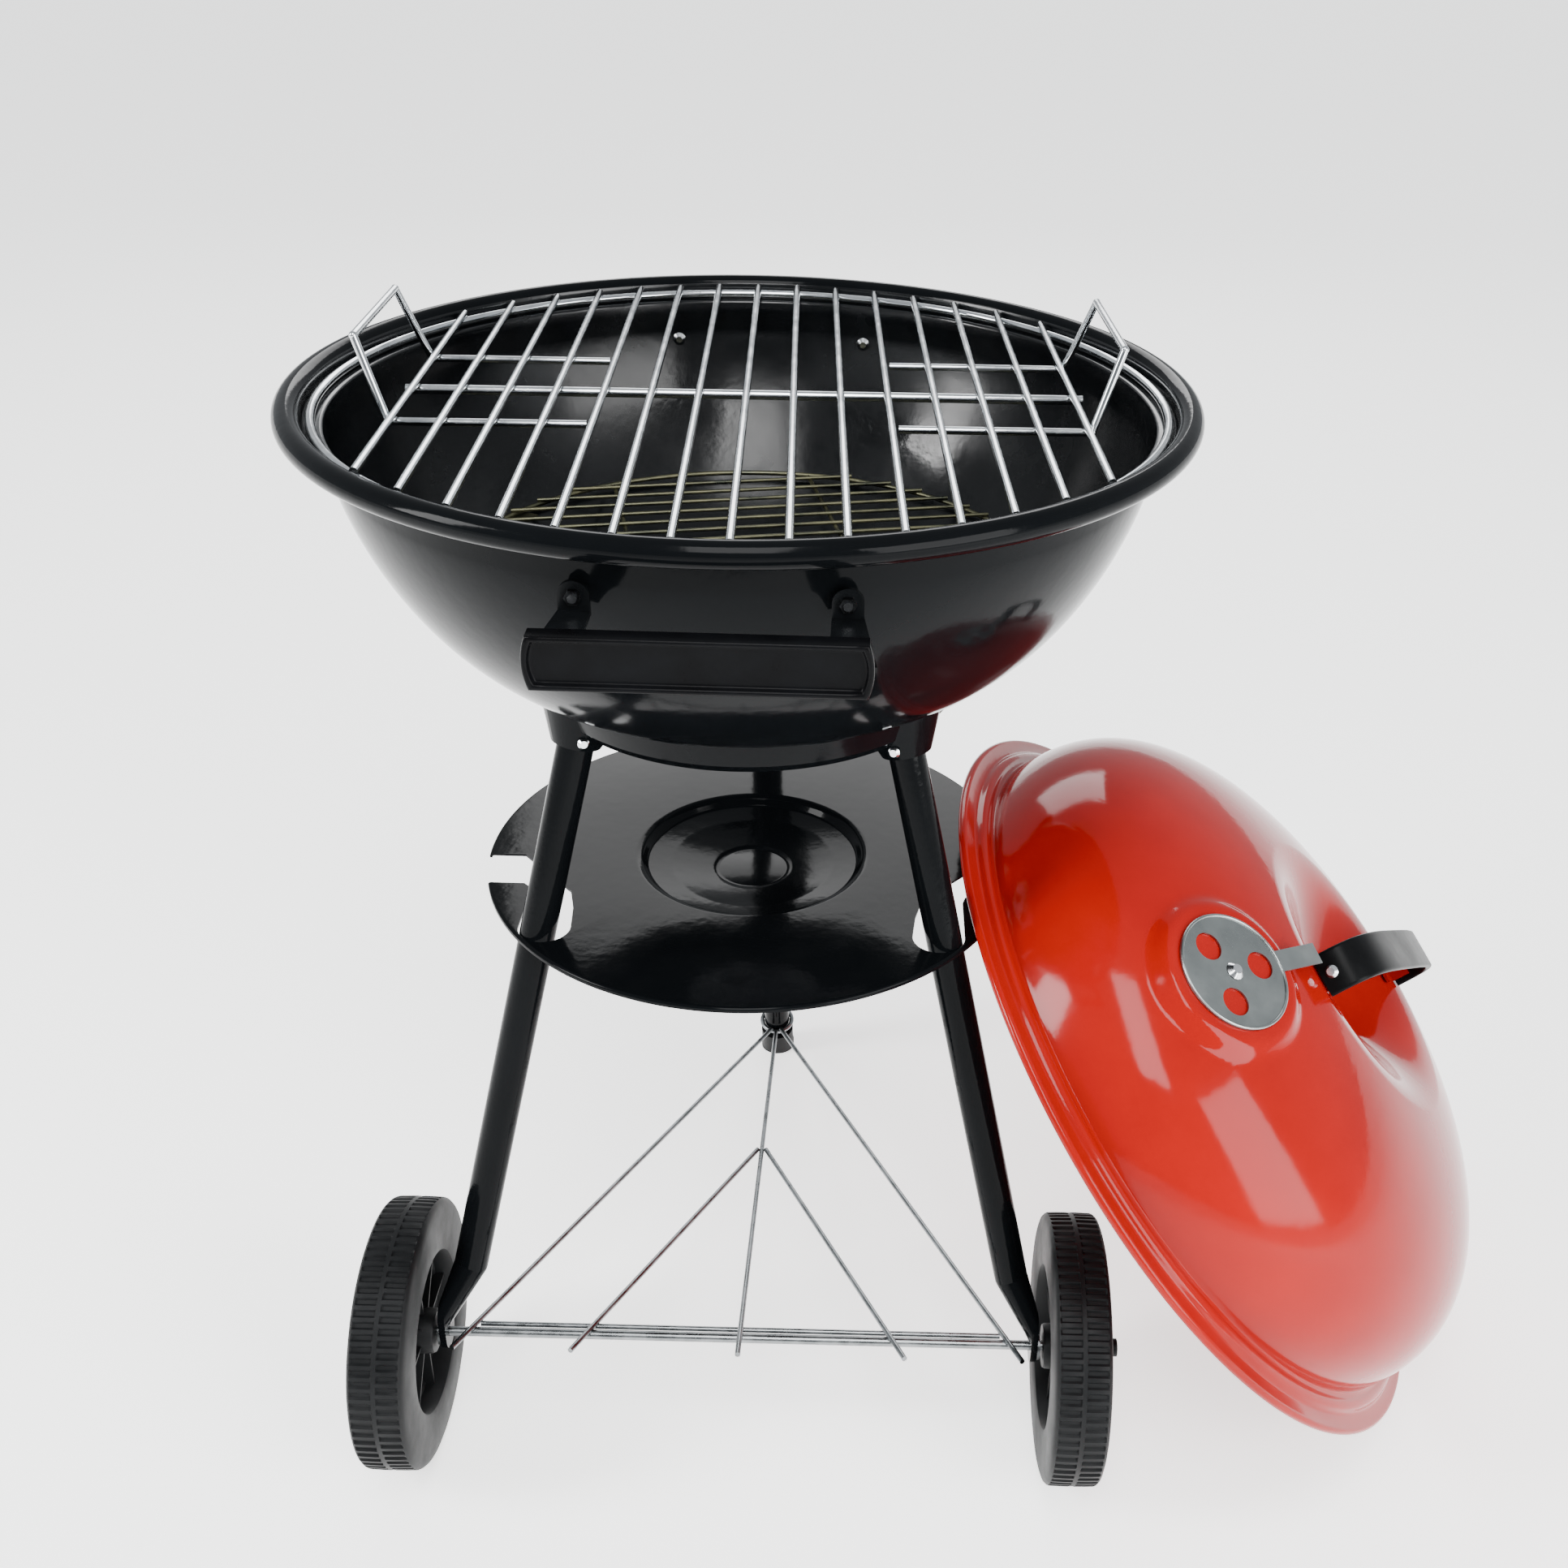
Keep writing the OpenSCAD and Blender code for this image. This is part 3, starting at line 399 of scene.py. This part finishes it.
# Stove paint keeps a soft gloss. Phenolic plastic is blacker, and its grain blurs the lights.
strap_paint = moulded("black stove paint", ("#08090A", "#101214"), 0.25, 1.6, 0.03)
grip_plastic = moulded("moulded phenolic plastic", ("#050506", "#0A0B0D"), 0.3, 0.9, 0.03, 0.05)
dress(strap_paint, "front_handle_brackets", "rear_handle_brackets")


def skinned(name, loops, material, place=Matrix.Identity(4), sharp=40):
    """A closed skin over loops of points in mm, each loop joined to the next, both ends capped."""
    build = bmesh.new()
    rows = [[build.verts.new(Vector(point) * MM) for point in loop] for loop in loops]
    count = len(rows[0])
    for low, high in zip(rows, rows[1:]):
        for i in range(count):
            j = (i + 1) % count
            build.faces.new((low[i], low[j], high[j], high[i]))
    build.faces.new(rows[0])
    build.faces.new(rows[-1])
    bmesh.ops.recalc_face_normals(build, faces=build.faces)
    mesh = bpy.data.meshes.new(name)
    build.to_mesh(mesh)
    build.free()
    mesh.shade_smooth()
    mesh.set_sharp_from_angle(angle=math.radians(sharp))
    piece = new_object(name, mesh)
    piece.matrix_world = place
    piece.data.materials.append(material)
    return piece


GRIP_LONG = 142
GRIP_TALL = 24
GRIP_BACK = 262
GRIP_MID_Z = 600


def grip_loop(inset, depth, bow=2.2, side_steps=24, end_steps=12):
    """The grip's outline, drawn in by inset, at a distance in front of its back face."""
    half_tall = GRIP_TALL / 2 - inset
    half_long = GRIP_LONG / 2 - inset
    loop = []
    for end in (1, -1):
        for i in range(side_steps):
            x = end * (half_long - bow) * (2 * i / side_steps - 1)
            loop.append((x, -depth, -end * half_tall))
        for i in range(end_steps):
            z = -end * half_tall * (1 - 2 * i / end_steps)
            loop.append((end * (half_long - bow * (z / half_tall) ** 2), -depth, z))
    return loop


# Each step is (inset, depth): rounded edges, the raised rim, and down into the tray.
GRIP_SECTION = [(1.2, 0), (0.35, 0.35), (0, 1.2), (0, 8.8), (0.2, 9.5), (0.8, 10), (1.7, 10),
                (2.3, 9.7), (2.6, 9.1), (2.8, 7.6), (3.3, 7.1), (4.2, 7.0)]
for side, turn in (("front", 0), ("rear", math.pi)):
    grip = skinned(side + "_grip", [grip_loop(*step) for step in GRIP_SECTION], grip_plastic,
                   Matrix.Translation((BOWL_X, 0, 0)) @ Matrix.Rotation(turn, 4, "Z")
                   @ Matrix.Translation(Vector((0, -GRIP_BACK, GRIP_MID_Z)) * MM), 50)
    settle(grip)
    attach(grip, "stand")
    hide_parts(side + "_handle_grip")
# Oxide-blackened nuts are dark metal, dull but for a thin highlight.
blackened = steel("blackened steel nuts", ("#2A2B2D", "#4A4C4E"), 0.3, 5)
dress(plated, "handle_screws")
dress(blackened, "handle_nuts")

# ---- Tripod ----
# A pressed ring with three flared sockets, enamelled like the bowl, and three steel tubes in
# gloss black paint, each held by one screw. The rear tube ends in a moulded cap.
# Tube paint has a finer ripple than the enamel, and shows one long streak down each leg.
tube_paint = black_enamel("gloss black tube paint", 3.0, 0.08)
dress(bowl_enamel, "leg_ring")
dress(tube_paint, "left_leg", "right_leg", "rear_leg")
dress(plated, "ring_screws")
# Polyethylene looks waxy: a greyer black with a wide, weak highlight.
cap_plastic = moulded("moulded polyethylene", ("#0B0C0D", "#141517"), 0.45, 0.8, 0.04)
dress(cap_plastic, "foot_cap", "axle_caps")

# ---- Wire shelf, axle and washers ----
# Thin zinc-plated wire, welded flat. The axle is a plain plated rod. The plating is duller and
# greyer than chrome, with a soft line of light along each wire.
shelf_wire = steel("zinc-plated wire", ("#66696A", "#929597"), 0.28, 14)
dress(shelf_wire, "shelf_left_wire", "shelf_right_wire", "shelf_centre_wire", "shelf_left_brace",
      "shelf_right_brace", "shelf_base_wire", "shelf_leg_loop", "axle", "wheel_washers")

# ---- Wheels ----
# Moulded in one piece in black plastic: fine ribs across the tread on both sides of a parting
# line, smooth sidewalls, and a deep dish with thin spokes round the hub.
# Polypropylene comes satin from the mould, so the ribs show by their shadows.
wheel_plastic = moulded("moulded polypropylene", ("#0D0E0F", "#151617"), 0.5, 0.7, 0.03)
WHEEL_R = 81.5
WHEEL_X = 204.5
AXLE_Y = -149
RIBS = 76
RIB_DEEP = 1.4
RIB_LEAN = 0.18
SPOKES = 8
SPOKE_SIZE = Vector((34, 2.6, 7)) * MM
SPOKE_TAPER = 0.6
SPOKE_AT_R = 30
SPOKE_AT_X = 6

# Half the section from the parting line to the hub: (radius, distance from middle, ribbed).
half_section = [(81.3, 0.4, 0), (81.3, 1.3, 0), (81.5, 1.8, 1), (81.4, 8, 1), (81.2, 13.2, 1),
                (80.8, 14.2, 0), (79.5, 15.6, 0), (77, 16.5, 0), (73, 17, 0), (64, 17, 0),
                (51.5, 16.8, 0), (49.4, 15.9, 0), (48.4, 14, 0), (47.6, 9, 0), (46.6, 4.5, 0),
                (44.5, 3, 0), (30, 2.6, 0), (17.5, 2.8, 0), (15, 4, 0), (14, 7, 0), (13.6, 15, 0),
                (12.8, 16.4, 0), (9, 16.5, 0), (3.2, 16.5, 0)]


def wheel_mesh():
    """A wheel about its own Z axis, with the ribs of its two halves out of step."""
    steps = RIBS * 4
    build = bmesh.new()
    rings = []
    section = half_section + [(r, -x, ribbed) for r, x, ribbed in reversed(half_section)]
    for radius, across, ribbed in section:
        offset = 2 if across < 0 else 0
        ring = []
        for i in range(steps):
            groove = RIB_DEEP if ribbed and (i + offset) % 4 in (0, 1) else 0
            lean = RIB_LEAN * (1 if (i + offset) % 2 else -1) if ribbed else 0
            angle = 2 * math.pi * (i + lean) / steps
            ring.append(build.verts.new(((radius - groove) * MM * math.cos(angle),
                                         (radius - groove) * MM * math.sin(angle), across * MM)))
        rings.append(ring)
    for k, low in enumerate(rings):
        high = rings[(k + 1) % len(rings)]
        for i in range(steps):
            j = (i + 1) % steps
            build.faces.new((low[i], low[j], high[j], high[i]))
    for k in range(SPOKES):
        for side in (1, -1):
            spoke = bmesh.ops.create_cube(build, size=1.0)["verts"]
            bmesh.ops.scale(build, vec=SPOKE_SIZE, verts=spoke)
            for v in spoke:
                if v.co.z * side > 0:
                    v.co.y *= SPOKE_TAPER
            bmesh.ops.translate(build, vec=(SPOKE_AT_R * MM, 0, side * SPOKE_AT_X * MM),
                                verts=spoke)
            bmesh.ops.rotate(build, cent=(0, 0, 0), verts=spoke,
                             matrix=Matrix.Rotation(2 * math.pi * k / SPOKES, 3, "Z"))
    bmesh.ops.recalc_face_normals(build, faces=build.faces)
    mesh = bpy.data.meshes.new("wheel")
    build.to_mesh(mesh)
    build.free()
    mesh.shade_smooth()
    mesh.set_sharp_from_angle(angle=math.radians(32))
    mesh.materials.append(wheel_plastic)
    return mesh


for side, sign in (("left", -1), ("right", 1)):
    wheel = new_object(side + "_ribbed_wheel", wheel_mesh())
    hub = (BOWL_X + sign * WHEEL_X * MM, AXLE_Y * MM, WHEEL_R * MM)
    wheel.matrix_world = Matrix.Translation(hub) @ Matrix.Rotation(math.pi / 2, 4, "Y")
    settle(wheel)
    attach(wheel, side + "_wheel_body")
    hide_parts(side + "_wheel")

# ---- Ash pan ----
# Pressed steel sheet in the same black enamel, with a ring step, a shallow dish, and slots that
# let the legs through.
PAN_R = 160.5
PAN_Z = 346
LEG_TOP_R = 114
LEG_TOP_Z = 460
LEG_SPLAY = 0.29
LEG_ANGLE = math.radians(38)
LEG_SPREAD = LEG_TOP_R + LEG_SPLAY * (LEG_TOP_Z - PAN_Z)
POCKET = (LEG_SPREAD * math.cos(LEG_ANGLE) - 3, -LEG_SPREAD * math.sin(LEG_ANGLE) + 2)
SLOT_R = 15
SLOT_TOP_Y = -11
SLOT_LOW_Y = -43
SLOT_SHOULDER_X = 138
SLOT_KNEE = (104, -50)
NOTCH_Y = 148


def arc(centre, radius, start, end, steps=20):
    """Points along a circle from one angle to another, in degrees."""
    return [(centre[0] + radius * math.cos(math.radians(start + (end - start) * i / steps)),
             centre[1] + radius * math.sin(math.radians(start + (end - start) * i / steps)))
            for i in range(steps + 1)]


def punched(piece, outlines, low, high):
    """Cuts flat outlines, in mm, straight down through a sheet."""
    build = bmesh.new()
    for outline in outlines:
        face = build.faces.new([build.verts.new((x * MM, y * MM, low * MM)) for x, y in outline])
        lifted = bmesh.ops.extrude_face_region(build, geom=[face])["geom"]
        bmesh.ops.translate(build, vec=(0, 0, (high - low) * MM),
                            verts=[v for v in lifted if isinstance(v, bmesh.types.BMVert)])
    bmesh.ops.recalc_face_normals(build, faces=build.faces)
    punch = bpy.data.meshes.new("punch")
    build.to_mesh(punch)
    build.free()
    cut_with(piece, punch)


top = soften([(26, -11.2), (50, -7.2), (64.5, -5.6), (67.5, -1.2), (71, 0), (100, 0),
              (PAN_R - 1.2, 0), (PAN_R, -1.0), (PAN_R, -3)], 1.2)
under = soften([(PAN_R - 1.5, -3), (PAN_R - 1.5, -1.9), (PAN_R - 2.5, -1.5), (100, -1.5),
                (72, -1.5), (69, -2.7), (66, -7.1), (50, -8.7), (26, -12.7)], 2.0)
pan = turned("pan_sheet", [(0, -11.9), (20.5, -11.9), (21.5, -12.1), (23.5, -11.3)] + top + under
             + [(23.5, -12.8), (21, -13.5), (0, -13.5)], 300, bowl_enamel,
             Matrix.Translation((BOWL_X, 0, PAN_Z * MM)))
pocket_edge = POCKET[0] + SLOT_R
slot = ([(200, SLOT_TOP_Y), (SLOT_SHOULDER_X, SLOT_TOP_Y), SLOT_KNEE,
         (SLOT_KNEE[0] - 4.2, SLOT_KNEE[1] - 18)] + arc(POCKET, SLOT_R, 180, 360)
        + [(pocket_edge, SLOT_LOW_Y - 9), (pocket_edge + 1.5, SLOT_LOW_Y - 3.5),
           (pocket_edge + 5, SLOT_LOW_Y), (200, SLOT_LOW_Y)])
notch = [(-SLOT_R, 200)] + arc((0, NOTCH_Y), SLOT_R, 180, 360) + [(SLOT_R, 200)]
punched(pan, [slot, [(-x, y) for x, y in reversed(slot)], notch], -25, 10)
settle(pan)
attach(pan, "pan")
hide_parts("ash_pan")

# ---- Lid ----
# Deep-drawn steel in red porcelain enamel: a stepped flange with a rolled bead, a dome, and a
# round dish for the handle. Its gloss mirrors the windows, over a deep red that hardly varies.
lid_enamel, tree, surface, place = finish_of("red porcelain enamel", "#960E09", 0.0, 0.1, 0.16)
ripple = add(tree, "ShaderNodeTexNoise", None, {
    "Vector": place, "Scale": 1000 / 7.0, "Detail": 2.0, "Roughness": 0.45})
bump = add(tree, "ShaderNodeBump", None, {
    "Height": ripple.outputs["Fac"], "Strength": 0.3, "Distance": 0.0002})
tree.links.new(bump.outputs["Normal"], surface.inputs["Normal"])
cloud = add(tree, "ShaderNodeTexNoise", None, {
    "Vector": place, "Scale": 9.0, "Detail": 5.0, "Roughness": 0.55})
tone = add(tree, "ShaderNodeValToRGB", None, {"Fac": cloud.outputs["Fac"]})
tone.color_ramp.elements[0].position = 0.3
tone.color_ramp.elements[1].position = 0.75
tone.color_ramp.elements[0].color = hue("#860B07")
tone.color_ramp.elements[1].color = hue("#9A100B")
tree.links.new(tone.outputs["Color"], surface.inputs["Base Color"])
gloss = add(tree, "ShaderNodeMapRange", None, {
    "Value": cloud.outputs["Fac"], "From Min": 0.3, "From Max": 0.75,
    "To Min": 0.06, "To Max": 0.15})
tree.links.new(gloss.outputs["Result"], surface.inputs["Roughness"])

LID_X = 292.5
LID_Y = 3.4
LID_TURN = -6.5
LID_SLOPE = 41.25
LID_R = 250
LID_SIDE = 227.7
LID_TALL = 131
LID_BASE = 9.5
LID_POWER = 2.416
DISH_R = 95
DISH_DEEP = 28
LID_BEAD = 3
lid_low = (LID_R - LID_BEAD) * math.cos(math.radians(LID_SLOPE)) + LID_BEAD
lid_place = (Matrix.Translation((BOWL_X + LID_X * MM, LID_Y * MM, lid_low * MM))
             @ Matrix.Rotation(math.radians(LID_TURN), 4, "Z")
             @ Matrix.Rotation(math.radians(90 - LID_SLOPE), 4, "Y"))


def dome_h(radius, side=LID_SIDE, tall=LID_TALL):
    """The dome's height at a radius, as it would be without its dish."""
    rise = max(0.0, 1 - (radius / side) ** LID_POWER) ** (1 / LID_POWER)
    return LID_BASE + (tall - LID_BASE) * rise


def lid_h(radius, side, tall):
    """The height of one face of the lid, which dips smoothly into the dish."""
    if radius > DISH_R:
        return dome_h(radius, side, tall)
    return dome_h(DISH_R, side, tall) - DISH_DEEP * (1 + math.cos(math.pi * radius / DISH_R)) / 2


def lid_line(side, tall, dish_steps=44, side_steps=120):
    """One face of the lid as (radius, height), from its middle out to its side."""
    radii = [DISH_R * i / dish_steps for i in range(dish_steps)]
    radii += [DISH_R + (side - DISH_R) * math.sin(math.pi / 2 * i / side_steps)
              for i in range(side_steps + 1)]
    return [(r, lid_h(r, side, tall)) for r in radii]


skin = lid_line(LID_SIDE, LID_TALL)
lining = lid_line(LID_SIDE - SHEET, LID_TALL - SHEET)
flange = soften([skin[-1], (227.9, 8.4), (230, 7.6), (233, 7.9), (236.5, 6.6), (238.6, 2.9),
                 (246.6, 2.6)], 1.6)
roll = [(LID_R - LID_BEAD + LID_BEAD * math.cos(math.radians(a)),
         LID_BEAD * math.sin(math.radians(a))) for a in range(70, -171, -12)]
back_edge = soften([(246.0, 0.6), (238, 1.1), (235.2, 5.0), (232, 6.3), (228, 6.2),
                    lining[-1]], 1.2)
lid = turned("lid_dome", skin[:-1] + flange + roll + back_edge + lining[-2::-1], 360,
             lid_enamel, lid_place)

# The vent stands on a low round boss, pressed up from the dome.
VENT_AT = 169
VENT_ANGLE = math.radians(225)
BOSS_R = 41
BOSS_EDGE = 52
BOSS_RISE = 1.5
LID_VENTS_AT = 20
LID_VENT_R = 8.5
vent_tilt = math.atan((dome_h(VENT_AT - 1) - dome_h(VENT_AT + 1)) / 2)
vent_frame = (Matrix.Rotation(VENT_ANGLE, 4, "Z")
              @ Matrix.Translation((VENT_AT, 0, dome_h(VENT_AT)))
              @ Matrix.Rotation(vent_tilt, 4, "Y"))
to_vent = vent_frame.inverted()
vent_up = (vent_frame.to_3x3() @ Vector((0, 0, 1))).normalized()
for vertex in lid.data.vertices:
    spot = to_vent @ (vertex.co / MM)
    away = math.hypot(spot.x, spot.y)
    if away > BOSS_EDGE or spot.z < -40:
        continue
    blend = min(1.0, (BOSS_EDGE - away) / (BOSS_EDGE - BOSS_R))
    blend = blend * blend * (3 - 2 * blend)
    target = BOSS_RISE if vertex.normal.dot(vent_up) > 0 else BOSS_RISE - SHEET
    vertex.co += vent_up * (target - spot.z) * blend * MM
vents = [(vent_frame @ Vector((LID_VENTS_AT * math.cos(2 * math.pi * k / 3),
                               LID_VENTS_AT * math.sin(2 * math.pi * k / 3), 0)),
          vent_up, LID_VENT_R, 16) for k in range(3)]
bored(lid, vents + [(vent_frame @ Vector((0, 0, 0)), vent_up, RIVET_HOLE_R, 16)])
settle(lid)
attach(lid, "lid")
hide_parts("lid_shell")
dress(lid_enamel, "lid_handle_brackets")

# The handle is a moulded black strap, arched over the dish and screwed to its two brackets.
STRAP_HALF = 90
STRAP_RISE = 34
STRAP_WIDE = 26
STRAP_THICK = 4.5
STRAP_ANGLE = math.radians(231)
STRAP_CURVE = 0.55
STRAP_STEPS = 120
strap_low = dome_h(DISH_R) + 1


def arch(turn, half, rise):
    """A point of the arch, (across, up): a flat top with well-rounded shoulders."""
    c, s = math.cos(turn), math.sin(turn)
    return math.copysign(abs(c) ** STRAP_CURVE, c) * half, rise * abs(s) ** STRAP_CURVE


# The strap's cross-section, as parts of its thickness and of its width, with rounded edges.
section = [(0.0, 0.42), (0.03, 0.475), (0.2, 0.5), (0.8, 0.5), (0.97, 0.475), (1.0, 0.42),
           (1.0, -0.42), (0.97, -0.475), (0.8, -0.5), (0.2, -0.5), (0.03, -0.475), (0.0, -0.42)]
loops = []
for i in range(STRAP_STEPS + 1):
    turn = math.pi * i / STRAP_STEPS
    outer = Vector(arch(turn, STRAP_HALF, STRAP_RISE))
    inner = Vector(arch(turn, STRAP_HALF - STRAP_THICK, STRAP_RISE - STRAP_THICK))
    spots = [(outer.lerp(inner, depth), across) for depth, across in section]
    loops.append([(spot.x, across * STRAP_WIDE, spot.y + strap_low) for spot, across in spots])
# Nylon is a satin black whose fine grain spreads the light along the arch.
strap_plastic = moulded("moulded nylon strap", ("#070708", "#0E0F10"), 0.33, 0.8, 0.03, 0.06)
strap = skinned("lid_strap", loops, strap_plastic,
                lid_place @ Matrix.Rotation(STRAP_ANGLE, 4, "Z"), 50)
settle(strap)
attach(strap, "lid")
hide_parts("lid_handle")
dress(plated, "lid_handle_screws", "lid_vent_rivet")

# The vent plate is stamped from bare steel, its edge rolled over, and brushed one way, so that
# its light spreads across the brushing.
brushed = steel("brushed stainless sheet", ("#8B908F", "#9DA2A1"), 0.3, 40, (40, 700, 1400))
dress(brushed, "lid_vent_plate")
